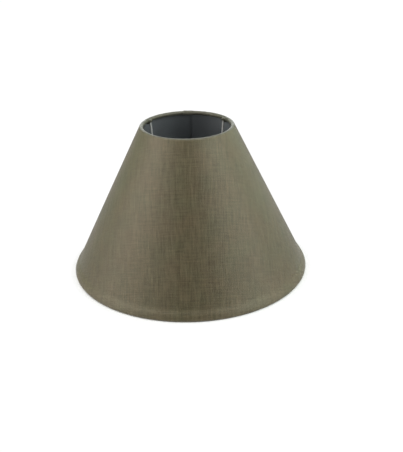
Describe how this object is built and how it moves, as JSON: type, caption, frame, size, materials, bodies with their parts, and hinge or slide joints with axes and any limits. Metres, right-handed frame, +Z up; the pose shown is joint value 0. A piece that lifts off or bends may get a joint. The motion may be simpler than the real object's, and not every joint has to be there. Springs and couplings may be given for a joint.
{
  "type": "lamp shade",
  "caption": "Wide conical hardback lamp shade of woven cloth on a dark stiff lining, with rolled edges over wire hoops and a dropped fitter ring for an E27 holder.",
  "frame": {"origin": "centre of the bottom opening, on the plane that the bottom rolled edge stands on", "axes": "+Z up along the shade's axis, towards the small top opening; +Y to the rear, where the lapped seam is; +X to the right as seen from the front"},
  "size_m": [0.35, 0.35, 0.22],
  "materials": {
    "cover_cloth": "slubby plain weave of taupe and olive threads with a soft sheen",
    "lining_pvc": "smooth dark blue-grey, satin",
    "frame_wire": "white enamel on steel wire, satin",
    "tape": "off-white double-sided adhesive tape"
  },
  "bodies": {
    "root": {"cover": "cover_cloth", "lining": "lining_pvc", "seam_tape": "tape", "top_ring": "frame_wire", "bottom_ring": "frame_wire", "top_ring_tape": "tape", "bottom_ring_tape": "tape", "fitter_ring": "frame_wire", "fitter_arm_rear_left": "frame_wire", "fitter_arm_rear_right": "frame_wire", "fitter_arm_front": "frame_wire"}
  },
  "joints": []
}
